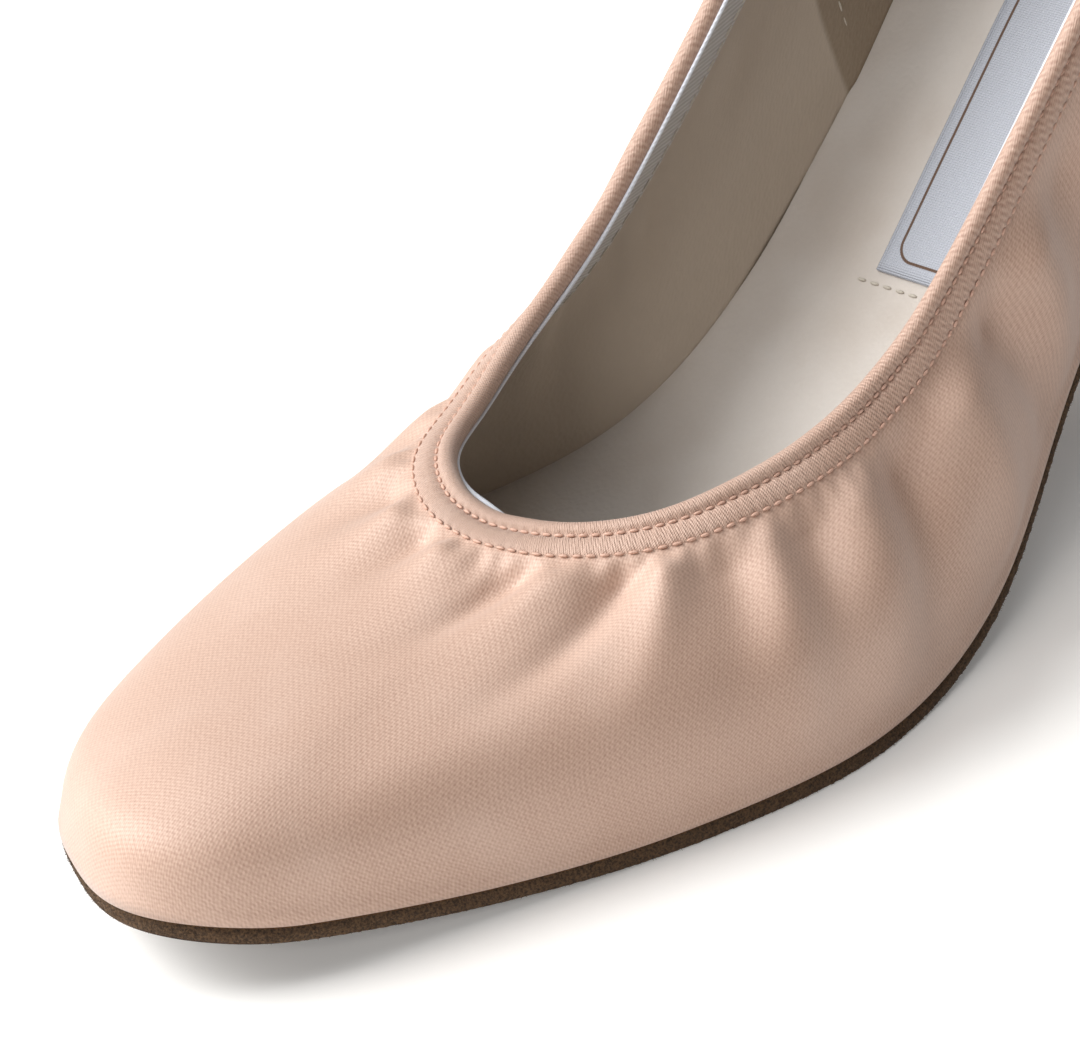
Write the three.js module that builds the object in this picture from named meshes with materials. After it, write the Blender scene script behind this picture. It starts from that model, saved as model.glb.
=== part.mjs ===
// A satin court shoe for dancing, left foot, built as the real one is: a lasted upper with a gathered topline
// binding, a thin suede outsole, a leather sock, a woven sock label, a covered heel and its top piece.
// Millimetres, +Z up. The shoe stands on the ground with its toe towards -Y and its outer side towards +X.
import * as THREE from "three";
import { mergeVertices } from "three/addons/utils/BufferGeometryUtils.js";

// Driving dimensions
const LENGTH = 236; // toe tip to heel back, along the ground
const BALL_WIDTH = 81; // the sole across the ball
const INSTEP = 26.2; // the throat above the sole's upper face
const BACK_HEIGHT = 53.4; // the heel back above the seat
const HEEL_RISE = 60; // from the ground to the sole under the heel back, near enough
const TOE_SPRING = 8; // the sole under the toe tip

// Materials' thicknesses and the gaps between pieces
const SOLE_THICKNESS = 2.2;
const SOLE_EDGE = 0.4; // how far the sole stands out from the upper
const SOCK_THICKNESS = 1.8;
const LABEL_THICKNESS = 0.6;
const WALL = 1.8; // satin, stiffener and lining together
const BINDING_HEIGHT = 4.6;
const BINDING_WALL = 2.6;
const BINDING_PROUD = 0.45; // the binding's face over the satin's
const GAP = 0.3;

// The pieces' mesh divisions
const AROUND = 104;
const UP_THE_WALL = 12;
const ACROSS_SOLE = 6;
const HEEL_LEVELS = 9;
const HEEL_SIDE = 18;
const UP_THE_BINDING = 2;
const ALONG_LABEL = 14;

// The last's bottom at stations from the toe tip: spring and rise are shares of TOE_SPRING and HEEL_RISE.
// The tread, where both are nothing, is flat on the ground.
const BOTTOM_PROFILE = [
  { station: -4, spring: 1.14, rise: 0 },
  { station: 12, spring: 0.62, rise: 0 },
  { station: 32, spring: 0.17, rise: 0 },
  { station: 52, spring: 0, rise: 0 },
  { station: 78, spring: 0, rise: 0 },
  { station: 92, spring: 0, rise: 0.017 },
  { station: 106, spring: 0, rise: 0.08 },
  { station: 126, spring: 0, rise: 0.235 },
  { station: 146, spring: 0, rise: 0.435 },
  { station: 166, spring: 0, rise: 0.635 },
  { station: 186, spring: 0, rise: 0.8 },
  { station: 208, spring: 0, rise: 0.925 },
  { station: 244, spring: 0, rise: 1.05 },
];

// The last's sections, each a line of the upper from the feather edge, where it meets the sole, up to the
// topline. They run from the toe tip along the outer side to the heel back and home by the inner side.
// along and out: the feather edge, as shares of LENGTH from the toe tip and of half BALL_WIDTH from the axis,
// outer side positive. topAlong and topOut: the topline, in the same shares.
// high: the topline above the sole's upper face, a share of INSTEP in front and of BACK_HEIGHT at the heel.
// lean and reach: the wall's lean off the vertical at the feather edge, outwards positive, in degrees, and
// the length over which it holds. roll and hold: the same at the topline, where roll is the inward lean.
const front = (share) => share * INSTEP;
const back = (share) => share * BACK_HEIGHT;
const COLUMNS = ["section", "along", "out", "topAlong", "topOut", "high", "lean", "reach", "roll", "hold"];
const SECTIONS = [
  ["toe_tip", 0.001, -0.03, 0.257, 0.07, front(1.0), 2, 17, 75, 33],
  ["outer_toe_corner", 0.021, 0.245, 0.259, 0.17, front(1.005), 3, 17, 73, 31],
  ["outer_small_toe", 0.086, 0.48, 0.266, 0.31, front(1.02), 5, 18, 69, 27],
  ["outer_toe_joint", 0.197, 0.8, 0.288, 0.5, front(1.05), 7, 19, 62, 20],
  ["outer_ball", 0.283, 0.995, 0.325, 0.635, front(1.1), 8, 19, 52, 17],
  ["outer_ball_back", 0.35, 1.03, 0.375, 0.715, front(1.15), 8, 18, 42, 16],
  ["outer_waist_front", 0.445, 0.93, 0.446, 0.735, front(1.21), 9, 17, 28, 15],
  ["outer_waist", 0.545, 0.735, 0.545, 0.715, front(1.33), 12, 16, 13, 15],
  ["outer_shank", 0.655, 0.662, 0.655, 0.705, front(1.45), 12, 16, 7, 15],
  ["outer_heel_front", 0.77, 0.662, 0.77, 0.705, back(0.83), 11, 17, 7, 16],
  ["outer_heel", 0.875, 0.637, 0.875, 0.635, back(0.9), 11, 18, 9, 18],
  ["outer_heel_corner", 0.96, 0.447, 0.949, 0.38, back(0.97), 12, 20, 10, 20],
  ["heel_back", 0.996, 0.0, 0.975, 0.0, back(1.0), 12, 21, 11, 21],
  ["inner_heel_corner", 0.96, -0.437, 0.949, -0.37, back(0.97), 12, 20, 10, 20],
  ["inner_heel", 0.875, -0.617, 0.875, -0.61, back(0.9), 11, 18, 9, 18],
  ["inner_heel_front", 0.77, -0.627, 0.77, -0.675, back(0.83), 12, 17, 7, 16],
  ["inner_shank", 0.655, -0.555, 0.655, -0.605, front(1.45), 15, 16, 6, 15],
  ["inner_waist", 0.545, -0.505, 0.545, -0.56, front(1.33), 17, 16, 9, 15],
  ["inner_waist_front", 0.445, -0.605, 0.446, -0.515, front(1.21), 6, 13, 24, 15],
  ["inner_ball_back", 0.36, -0.85, 0.375, -0.47, front(1.12), -4, 11, 52, 13],
  ["inner_ball", 0.285, -0.95, 0.325, -0.385, front(1.05), -8, 10, 66, 14],
  ["inner_toe_joint", 0.175, -0.92, 0.288, -0.29, front(1.035), -4, 12, 72, 18],
  ["inner_big_toe", 0.07, -0.69, 0.266, -0.145, front(1.02), 0, 13, 73, 26],
  ["inner_toe_corner", 0.02, -0.335, 0.259, -0.03, front(1.005), 3, 15, 74, 30],
].map((row) => Object.fromEntries(COLUMNS.map((column, i) => [column, row[i]])));

// The covered heel and the label, placed by stations from the toe tip
const HEEL_BREAST = 184;
const HEEL_TIP_FRONT = 201;
const HEEL_TIP_BACK = 226;
const HEEL_TIP_WIDTH = 25;
const TOP_PIECE_HEIGHT = 5;
const LABEL_FRONT = 131;
const LABEL_BACK = 185;
const LABEL_WIDTH = 18;
const LABEL_OUT_FRONT = 7.2; // its middle off the shoe's axis, at its front end and at its back
const LABEL_OUT_BACK = 1.1;
const SEAT_INSET = 0.4; // the heel's cover, in from the upper's feather edge
const HEEL_FLARE = 1.7; // how soon the heel narrows below its seat
const TIP_SQUARENESS = 0.72; // 1 is a half ellipse, less is squarer
const BREAST_HOLLOW = 1.3; // how far the heel's front face is drawn in

const RAD = Math.PI / 180;
const { lerp } = THREE.MathUtils;

// A value read from a table by station, on a smooth curve through its rows.
function fromTable(rows, key, station) {
  const above = rows.findIndex((row, k) => k > 0 && row.station > station);
  const i = (above < 0 ? rows.length - 1 : above) - 1;
  const slope = (k) => {
    const a = rows[Math.max(k - 1, 0)];
    const b = rows[Math.min(k + 1, rows.length - 1)];
    const level = rows[k][key] === a[key] || rows[k][key] === b[key];
    return level ? 0 : (b[key] - a[key]) / (b.station - a.station);
  };
  const step = rows[i + 1].station - rows[i].station;
  const t = THREE.MathUtils.clamp((station - rows[i].station) / step, 0, 1);
  const ease = t * t * (3 - 2 * t);
  const start = t * (1 - t) * (1 - t) * step * slope(i);
  const end = t * t * (t - 1) * step * slope(i + 1);
  return lerp(rows[i][key], rows[i + 1][key], ease) + start + end;
}

// The ground face of the sole at a station.
function bottomAt(station) {
  const spring = TOE_SPRING * fromTable(BOTTOM_PROFILE, "spring", station);
  return spring + HEEL_RISE * fromTable(BOTTOM_PROFILE, "rise", station);
}

// Closed curves round the shoe through the sections. t runs from 0 at the toe tip to 1 there again.
const ring = (pick) => new THREE.CatmullRomCurve3(SECTIONS.map(pick), true, "catmullrom", 0.5);
const half = BALL_WIDTH / 2;
const featherRing = ring((s) => new THREE.Vector3(s.out * half, s.along * LENGTH, 0));
const toplineRing = ring((s) => new THREE.Vector3(s.topOut * half, s.topAlong * LENGTH, s.high));
const wallRing = ring((s) => new THREE.Vector3(s.lean, s.reach, 0));
const rollRing = ring((s) => new THREE.Vector3(s.roll, s.hold, 0));

// The outward direction of a closed curve, in plan.
function outward(curve, t) {
  const step = 1e-3;
  const a = curve.getPoint((t - step + 1) % 1);
  const b = curve.getPoint((t + step) % 1);
  return new THREE.Vector3(b.y - a.y, a.x - b.x, 0).normalize();
}

// The feather edge moved outwards by an offset, in plan.
function featherAt(t, offset) {
  return featherRing.getPoint(t % 1).addScaledVector(outward(featherRing, t % 1), offset);
}

// The upper's outer face at a place round the shoe, as a curve from the feather edge up to the topline.
function sectionCurve(t) {
  const foot = featherAt(t, 0);
  foot.z = bottomAt(foot.y) + SOLE_THICKNESS + GAP;
  const top = toplineRing.getPoint(t % 1);
  top.z += bottomAt(top.y) + SOLE_THICKNESS;
  const { x: lean, y: reach } = wallRing.getPoint(t % 1);
  const { x: roll, y: hold } = rollRing.getPoint(t % 1);
  const wall = foot.clone().addScaledVector(outward(featherRing, t % 1), reach * Math.sin(lean * RAD));
  wall.z += reach * Math.cos(lean * RAD);
  const shoulder = top.clone().addScaledVector(outward(toplineRing, t % 1), hold * Math.sin(roll * RAD));
  shoulder.z -= hold * Math.cos(roll * RAD);
  return new THREE.CubicBezierCurve3(foot, wall, shoulder, top);
}
const sections = Array.from({ length: AROUND }, (_, i) => sectionCurve(i / AROUND));

// The share of a section's curve at which a given length is left to the topline.
function shareBelowTop(curve, length) {
  const total = curve.getLength();
  return curve.getUtoTmapping(1 - length / total);
}

// Rows of points on the outer face, from share low(i) to share high(i) of each section, moved in by a depth
// along the face's normal.
function faceRows(low, high, steps, depth) {
  const rows = [];
  for (let k = 0; k <= steps; k++) {
    const points = sections.map((curve, i) => curve.getPoint(lerp(low(i), high(i), k / steps)));
    rows.push(points);
  }
  return rows.map((points, k) =>
    points.map((p, i) => {
      const next = points[(i + 1) % AROUND];
      const before = points[(i + AROUND - 1) % AROUND];
      const along = new THREE.Vector3().subVectors(next, before);
      const above = rows[Math.min(k + 1, steps)][i];
      const below = rows[Math.max(k - 1, 0)][i];
      const up = new THREE.Vector3().subVectors(above, below);
      const normal = new THREE.Vector3().crossVectors(along, up).normalize();
      return p.clone().addScaledVector(normal, -depth);
    }),
  );
}

// A mesh from triangles of points, welded into one closed skin.
function solidFrom(triangles) {
  const flat = new Float32Array(triangles.length * 9);
  triangles.forEach((corners, i) => corners.forEach((p, k) => p.toArray(flat, i * 9 + k * 3)));
  const loose = new THREE.BufferGeometry().setAttribute("position", new THREE.BufferAttribute(flat, 3));
  const welded = mergeVertices(loose, 1e-3);
  const corner = welded.index.array;
  const kept = [];
  for (let i = 0; i < corner.length; i += 3) {
    const [a, b, c] = [corner[i], corner[i + 1], corner[i + 2]];
    if (a !== b && b !== c && a !== c) kept.push(a, b, c);
  }
  welded.setIndex(kept);
  welded.computeVertexNormals();
  return welded;
}

// Triangles between two rows of points, facing left of the way from the first row to the second.
function strip(lower, upper, closed) {
  const triangles = [];
  const count = closed ? lower.length : lower.length - 1;
  for (let i = 0; i < count; i++) {
    const j = (i + 1) % lower.length;
    triangles.push([lower[i], lower[j], upper[j]], [lower[i], upper[j], upper[i]]);
  }
  return triangles;
}

// A closed wall between an outer and an inner stack of rings.
function wallSolid(outer, inner) {
  const stack = [...outer, ...inner.slice().reverse()];
  return solidFrom(stack.flatMap((row, k) => strip(row, stack[(k + 1) % stack.length], true)));
}

// A slab whose faces follow the last's bottom. Its edge is the feather edge moved out by an offset, and its
// rungs run straight across from the inner side to the outer.
function slabSolid(offset, lower, upper) {
  const rungs = AROUND / 2;
  const face = (lift) => {
    const rows = [];
    for (let i = 0; i <= rungs; i++) {
      const outer = featherAt(i / AROUND, offset);
      const inner = featherAt(1 - i / AROUND, offset);
      const row = [];
      for (let k = 0; k <= ACROSS_SOLE; k++) {
        const p = inner.clone().lerp(outer, k / ACROSS_SOLE);
        p.z = bottomAt(p.y) + lift;
        row.push(p);
      }
      rows.push(row);
    }
    return rows;
  };
  return plateSolid(face(lower), face(upper));
}

// A plate between a lower and an upper grid of points.
function plateSolid(low, high) {
  const triangles = [];
  const edge = (pick) => triangles.push(...strip(low.map(pick), high.map(pick), false));
  const turned = (pick) => triangles.push(...strip(high.map(pick), low.map(pick), false));
  for (let i = 0; i + 1 < low.length; i++) {
    triangles.push(...strip(low[i], low[i + 1], false).map(([a, b, c]) => [a, c, b]));
    triangles.push(...strip(high[i], high[i + 1], false));
  }
  turned((row) => row[0]);
  edge((row) => row[row.length - 1]);
  triangles.push(...strip(low[0], high[0], false));
  triangles.push(...strip(high.at(-1), low.at(-1), false));
  return solidFrom(triangles);
}

// The upper, up to the binding's lower edge. Its foot is level with the sole across the wall's thickness.
function upperGeometry() {
  const top = sections.map((curve) => shareBelowTop(curve, BINDING_HEIGHT + GAP));
  const face = (depth) => faceRows(() => 0, (i) => top[i], UP_THE_WALL, depth);
  const inner = face(WALL);
  inner[0].forEach((p) => p.setZ(bottomAt(p.y) + SOLE_THICKNESS + GAP));
  return wallSolid(face(0), inner);
}

// The binding, a rolled edge that stands a little proud of the satin on both faces.
function bindingGeometry() {
  const low = sections.map((curve) => shareBelowTop(curve, BINDING_HEIGHT));
  const face = (depth) => faceRows((i) => low[i], () => 1, UP_THE_BINDING, depth);
  const outer = face(-BINDING_PROUD);
  const inner = face(BINDING_WALL - BINDING_PROUD);
  const crest = outer.at(-1).map((p, i) => p.clone().lerp(inner.at(-1)[i], 0.5));
  crest.forEach((p) => p.setZ(p.z + BINDING_WALL / 3));
  return wallSolid([...outer, crest], inner);
}

// The heel: rings lofted from the seat under the sole down to the top piece, with a straight breast.
function heelRing(share) {
  const seat = [];
  for (let k = 0; k <= HEEL_SIDE; k++) {
    const t = lerp(seatStart, 1 - seatStart, k / HEEL_SIDE);
    const p = featherAt(t, -SEAT_INSET);
    p.z = bottomAt(p.y) - GAP;
    seat.push(p);
  }
  const middle = (HEEL_TIP_FRONT + HEEL_TIP_BACK) / 2;
  const depth = (HEEL_TIP_BACK - HEEL_TIP_FRONT) / 2;
  const waisted = 1 - (1 - share) ** HEEL_FLARE;
  const points = seat.map((p, k) => {
    const turn = lerp(0, Math.PI, k / HEEL_SIDE);
    const squared = Math.sin(turn) ** TIP_SQUARENESS;
    const across = (Math.cos(turn) * HEEL_TIP_WIDTH) / 2;
    const tip = new THREE.Vector3(across, middle + depth * (2 * squared - 1), TOP_PIECE_HEIGHT + GAP);
    const q = p.clone().lerp(tip, waisted);
    q.z = lerp(p.z, tip.z, share);
    return q;
  });
  const breast = points[0].clone().lerp(points.at(-1), 0.5);
  breast.y += BREAST_HOLLOW;
  return [...points, breast];
}

// Where the seat's ring leaves the breast, found along the outer side.
const seatStart = (() => {
  let t = 0.25;
  while (featherAt(t, 0).y < HEEL_BREAST) t += 1e-3;
  return t;
})();

// Rings stacked into a closed solid, with a cap fanned from the middle of each end.
function loftSolid(rings) {
  const triangles = rings.slice(1).flatMap((row, k) => strip(row, rings[k], true));
  const cap = (row, lift) => {
    const middle = row.reduce((sum, p) => sum.add(p), new THREE.Vector3()).divideScalar(row.length);
    middle.z = lift(middle);
    return row.map((p, i) => [p, row[(i + 1) % row.length], middle]);
  };
  triangles.push(...cap(rings[0], (m) => bottomAt(m.y) - GAP));
  triangles.push(...cap(rings.at(-1), (m) => rings.at(-1)[0].z).map(([a, b, m]) => [b, a, m]));
  return solidFrom(triangles);
}

function heelGeometry() {
  const rings = Array.from({ length: HEEL_LEVELS + 1 }, (_, k) => heelRing(k / HEEL_LEVELS));
  return loftSolid(rings);
}

function topPieceGeometry() {
  const ringAbove = heelRing(1);
  const outline = new THREE.Shape(ringAbove.map((p) => new THREE.Vector2(p.x, p.y)));
  return new THREE.ExtrudeGeometry(outline, { depth: TOP_PIECE_HEIGHT, bevelEnabled: false });
}

// The woven label, a thin plate that lies along the sock.
function labelGeometry() {
  const lift = SOLE_THICKNESS + GAP + SOCK_THICKNESS + GAP;
  const grid = (rise) =>
    Array.from({ length: ALONG_LABEL + 1 }, (_, i) =>
      [-1, 0, 1].map((side) => {
        const station = lerp(LABEL_FRONT, LABEL_BACK, i / ALONG_LABEL);
        const middle = lerp(LABEL_OUT_FRONT, LABEL_OUT_BACK, i / ALONG_LABEL);
        const height = bottomAt(station) + lift + rise;
        return new THREE.Vector3(middle + (side * LABEL_WIDTH) / 2, station, height);
      }),
    );
  return plateSolid(grid(0), grid(LABEL_THICKNESS));
}

// Finishes
const finish = (color, roughness) => new THREE.MeshStandardMaterial({ color, roughness, metalness: 0 });
const SATIN = finish(0xd9ac94, 0.4);
const SATIN_EDGE = finish(0xd29a7c, 0.45);
const SUEDE = finish(0x54402f, 0.95);
const SOCK_LEATHER = finish(0xcdc3b7, 0.7);
const LABEL_CLOTH = finish(0xdfe3ee, 0.6);

const shoe = new THREE.Group();
shoe.name = "dance_court_shoe";
function piece(name, geometry, material) {
  const mesh = new THREE.Mesh(geometry, material);
  mesh.name = name;
  shoe.add(mesh);
}
const sockFloor = SOLE_THICKNESS + GAP;
piece("outsole", slabSolid(SOLE_EDGE, 0, SOLE_THICKNESS), SUEDE);
piece("upper", upperGeometry(), SATIN);
piece("topline_binding", bindingGeometry(), SATIN_EDGE);
piece("sock", slabSolid(-(WALL + 2 * GAP), sockFloor, sockFloor + SOCK_THICKNESS), SOCK_LEATHER);
piece("sock_label", labelGeometry(), LABEL_CLOTH);
piece("heel", heelGeometry(), SATIN);
piece("heel_top_piece", topPieceGeometry(), SUEDE);

// The frame's origin is on the ground under the middle of the shoe.
const box = new THREE.Box3().setFromObject(shoe);
const centre = box.getCenter(new THREE.Vector3());
shoe.children.forEach((mesh) => mesh.position.set(-centre.x, -centre.y, -box.min.z));

export default shoe;
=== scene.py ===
import math

import bmesh
import bpy
import numpy as np
from mathutils import Matrix, Vector


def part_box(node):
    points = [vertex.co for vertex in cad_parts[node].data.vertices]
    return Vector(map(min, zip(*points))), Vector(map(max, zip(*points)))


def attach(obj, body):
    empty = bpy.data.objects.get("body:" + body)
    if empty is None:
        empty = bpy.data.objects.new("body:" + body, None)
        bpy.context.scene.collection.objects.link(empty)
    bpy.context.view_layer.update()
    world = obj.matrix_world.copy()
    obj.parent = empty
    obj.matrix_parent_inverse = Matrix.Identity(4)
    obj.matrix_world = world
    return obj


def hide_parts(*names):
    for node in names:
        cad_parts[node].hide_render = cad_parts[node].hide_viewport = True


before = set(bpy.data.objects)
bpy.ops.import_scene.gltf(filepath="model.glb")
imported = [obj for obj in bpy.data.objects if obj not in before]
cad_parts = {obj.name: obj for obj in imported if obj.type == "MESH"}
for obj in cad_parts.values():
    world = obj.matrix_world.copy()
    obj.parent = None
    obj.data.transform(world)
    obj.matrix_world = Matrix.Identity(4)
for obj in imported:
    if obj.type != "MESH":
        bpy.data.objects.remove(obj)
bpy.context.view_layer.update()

# The satin upper
# A court shoe's upper in flesh satin on a thin stiffener, cut as one vamp and pulled over the last.
# It is stitched to the binding at the topline, where an elastic draws it into gathers, and it is
# cemented under the foot at the feather edge.
MM = 0.001
LENGTH = 236
BALL_WIDTH = 81
INSTEP = 26.2
BACK_HEIGHT = 53.4
HEEL_RISE = 60
TOE_SPRING = 8
SOLE_THICKNESS = 2.2
SOLE_EDGE = 0.4
GAP = 0.3
BINDING_HEIGHT = 4.6


def front(share):
    """A topline height in the front of the shoe, as a share of the instep."""
    return share * INSTEP


def back(share):
    """A topline height in the back of the shoe, as a share of the back height."""
    return share * BACK_HEIGHT


# Sections round the shoe, from the toe tip by the outer side, the heel and the inner side. Along and out are
# shares of the length and of half the ball width. Heights, reach and hold are millimetres, and lean and roll
# are degrees.
SECTIONS = np.array([
    # along, out, topline along, topline out, topline high, wall lean, wall reach, topline roll, topline hold
    (0.001, -0.03, 0.257, 0.07, front(1.0), 2, 17, 75, 33),
    (0.021, 0.245, 0.259, 0.17, front(1.005), 3, 17, 73, 31),
    (0.086, 0.48, 0.266, 0.31, front(1.02), 5, 18, 69, 27),
    (0.197, 0.8, 0.288, 0.5, front(1.05), 7, 19, 62, 20),
    (0.283, 0.995, 0.325, 0.635, front(1.1), 8, 19, 52, 17),
    (0.35, 1.03, 0.375, 0.715, front(1.15), 8, 18, 42, 16),
    (0.445, 0.93, 0.446, 0.735, front(1.21), 9, 17, 28, 15),
    (0.545, 0.735, 0.545, 0.715, front(1.33), 12, 16, 13, 15),
    (0.655, 0.662, 0.655, 0.705, front(1.45), 12, 16, 7, 15),
    (0.77, 0.662, 0.77, 0.705, back(0.83), 11, 17, 7, 16),
    (0.875, 0.637, 0.875, 0.635, back(0.9), 11, 18, 9, 18),
    (0.96, 0.447, 0.949, 0.38, back(0.97), 12, 20, 10, 20),
    (0.996, 0.0, 0.975, 0.0, back(1.0), 12, 21, 11, 21),
    (0.96, -0.437, 0.949, -0.37, back(0.97), 12, 20, 10, 20),
    (0.875, -0.617, 0.875, -0.61, back(0.9), 11, 18, 9, 18),
    (0.77, -0.627, 0.77, -0.675, back(0.83), 12, 17, 7, 16),
    (0.655, -0.555, 0.655, -0.605, front(1.45), 15, 16, 6, 15),
    (0.545, -0.505, 0.545, -0.56, front(1.33), 17, 16, 9, 15),
    (0.445, -0.605, 0.446, -0.515, front(1.21), 6, 13, 24, 15),
    (0.36, -0.85, 0.375, -0.47, front(1.12), -4, 11, 52, 13),
    (0.285, -0.95, 0.325, -0.385, front(1.05), -8, 10, 66, 14),
    (0.175, -0.92, 0.288, -0.29, front(1.035), -4, 12, 72, 18),
    (0.07, -0.69, 0.266, -0.145, front(1.02), 0, 13, 73, 26),
    (0.02, -0.335, 0.259, -0.03, front(1.005), 3, 15, 74, 30),
])
edge_along, edge_out, top_along, top_out, top_high = SECTIONS[:, :5].T
WALL_SHAPE = SECTIONS[:, 5:]
FEATHER = np.stack([edge_out * BALL_WIDTH / 2, edge_along * LENGTH], axis=1)
TOPLINE = np.stack([top_out * BALL_WIDTH / 2, top_along * LENGTH, top_high], axis=1)

# The sole's ground face, from the toe to the heel.
BOTTOM_PROFILE = np.array([
    # station from the toe tip, share of the toe spring, share of the heel rise
    (-4, 1.14, 0),
    (12, 0.62, 0),
    (32, 0.17, 0),
    (52, 0, 0),
    (78, 0, 0),
    (92, 0, 0.017),
    (106, 0, 0.08),
    (126, 0, 0.235),
    (146, 0, 0.435),
    (166, 0, 0.635),
    (186, 0, 0.8),
    (208, 0, 0.925),
    (244, 0, 1.05),
])
STATIONS, SPRING_SHARE, RISE_SHARE = BOTTOM_PROFILE.T
SMALL_STEP = 0.001
COLUMN_STEPS = 120
ROUND_STEPS = 2000


def round_shoe(rows, t):
    """Values of the rows at t round the shoe, 0 and 1 at the toe tip, on a smooth closed curve."""
    place = np.asarray(t) % 1 * len(rows)
    row = np.floor(place).astype(int)
    part = (place - row)[:, None]
    ring = np.eye(len(rows))
    weights = 4 * ring + np.roll(ring, 1, axis=0) + np.roll(ring, -1, axis=0)
    slopes = np.linalg.solve(weights, 3 * (np.roll(rows, -1, axis=0) - np.roll(rows, 1, axis=0)))
    here, after = rows[row], rows[(row + 1) % len(rows)]
    start, end = slopes[row], slopes[(row + 1) % len(rows)]
    cubic = 2 * here - 2 * after + start + end
    square = 3 * after - 3 * here - 2 * start - end
    return ((cubic * part + square) * part + start) * part + here


def eased(share):
    """A share from 0 to 1 that starts and ends slowly."""
    return share * share * (3 - 2 * share)


def from_profile(values, station):
    """Values of the bottom profile at stations from the toe tip, level where two rows are."""
    last = len(values) - 1
    low = np.maximum(np.arange(last + 1) - 1, 0)
    high = np.minimum(np.arange(last + 1) + 1, last)
    level = (values == values[low]) | (values == values[high])
    slope = np.where(level, 0, (values[high] - values[low]) / (STATIONS[high] - STATIONS[low]))
    row = np.clip(np.searchsorted(STATIONS, station, side="right") - 1, 0, last - 1)
    step = STATIONS[row + 1] - STATIONS[row]
    part = np.clip((station - STATIONS[row]) / step, 0, 1)
    start = part * (1 - part) ** 2 * step * slope[row]
    end = part * part * (part - 1) * step * slope[row + 1]
    return values[row] + (values[row + 1] - values[row]) * eased(part) + start + end


def sole_height(station):
    """The height of the sole's ground face."""
    return TOE_SPRING * from_profile(SPRING_SHARE, station) + HEEL_RISE * from_profile(RISE_SHARE, station)


def unit(ways):
    """Directions of length 1."""
    return ways / np.linalg.norm(ways, axis=-1)[..., None]


def run_along(points):
    """The distance along a line of points, or along each line of a grid."""
    steps = np.linalg.norm(np.diff(points, axis=-2), axis=-1)
    start = np.zeros(steps.shape[:-1] + (1,))
    return np.concatenate([start, np.cumsum(steps, axis=-1)], axis=-1)


def outward(rows, t):
    """The outward direction of a closed curve, in plan."""
    way = round_shoe(rows, t + SMALL_STEP) - round_shoe(rows, t - SMALL_STEP)
    return unit(np.stack([way[:, 1], -way[:, 0]], axis=1))


def feather_edge(t, offset):
    """The feather edge in plan, moved outwards by an offset."""
    return round_shoe(FEATHER, t) + offset * outward(FEATHER, t)


def columns(t):
    """The upper's outer face as one line of points for each place round the shoe, from the topline down."""
    foot = feather_edge(t, 0)
    foot = np.column_stack([foot, sole_height(foot[:, 1]) + SOLE_THICKNESS + GAP])
    top = round_shoe(TOPLINE, t)
    top[:, 2] += sole_height(top[:, 1]) + SOLE_THICKNESS
    lean, reach, roll, hold = round_shoe(WALL_SHAPE, t).T
    lean, roll = np.radians(lean), np.radians(roll)
    wall_end = foot.copy()
    wall_end[:, :2] += outward(FEATHER, t) * (reach * np.sin(lean))[:, None]
    wall_end[:, 2] += reach * np.cos(lean)
    shoulder = top.copy()
    shoulder[:, :2] += outward(TOPLINE, t) * (hold * np.sin(roll))[:, None]
    shoulder[:, 2] -= hold * np.cos(roll)
    up = np.linspace(1, 0, COLUMN_STEPS)[None, :, None]
    down = 1 - up
    foot, wall_end, shoulder, top = (p[:, None, :] for p in (foot, wall_end, shoulder, top))
    return foot * down ** 3 + 3 * wall_end * up * down ** 2 + 3 * shoulder * up * up * down + top * up ** 3


# The frame's origin is under the middle of the shoe, and the tables' is under the toe tip.
ROUND = np.linspace(0, 1, ROUND_STEPS, endpoint=False)
FULL_ROUND = np.append(ROUND, 1.0)
sole_low = np.array(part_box("outsole")[0])
SHIFT = np.append(sole_low[:2] / MM - feather_edge(ROUND, SOLE_EDGE).min(axis=0), 0)


def placed(points):
    """Points of the tables, in millimetres from the toe tip, as metres of the frame."""
    return (points + SHIFT) * MM


def wall(t, below, lift):
    """Points on the upper at t round the shoe and at a distance below the topline, lifted off its face."""
    lines = columns(t)
    down = run_along(lines)
    along = columns(t + SMALL_STEP) - columns(t - SMALL_STEP)
    facing = unit(np.cross(np.gradient(lines, axis=1), along))
    below = np.broadcast_to(below, (len(t), np.shape(below)[-1]))
    lift = np.broadcast_to(lift, below.shape)
    points = np.empty(below.shape + (3,))
    normals = np.empty_like(points)
    for i in range(len(t)):
        for axis in range(3):
            points[i, :, axis] = np.interp(below[i], down[i], lines[i, :, axis])
            normals[i, :, axis] = np.interp(below[i], down[i], facing[i, :, axis])
    rise = (lines[:, 0] - lines[:, 1]) / down[:, 1, None]
    points += np.maximum(-below, 0)[..., None] * rise[:, None, :]
    return placed(points + normals * lift[..., None])


def from_heel(steps):
    """Places once round the shoe, from the back of the heel and on to it again."""
    return 0.5 + np.linspace(0, 1, steps + 1)


def in_scene(name, data):
    """An object at the origin that shows a mesh, a light or a camera."""
    piece = bpy.data.objects.new(name, data)
    bpy.context.scene.collection.objects.link(piece)
    return piece


def finished(name, shape):
    """A piece from a bmesh, shaded smooth."""
    mesh = bpy.data.meshes.new(name)
    shape.to_mesh(mesh)
    shape.free()
    mesh.shade_smooth()
    return in_scene(name, mesh)


MERGE_DISTANCE = 1e-7


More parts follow.
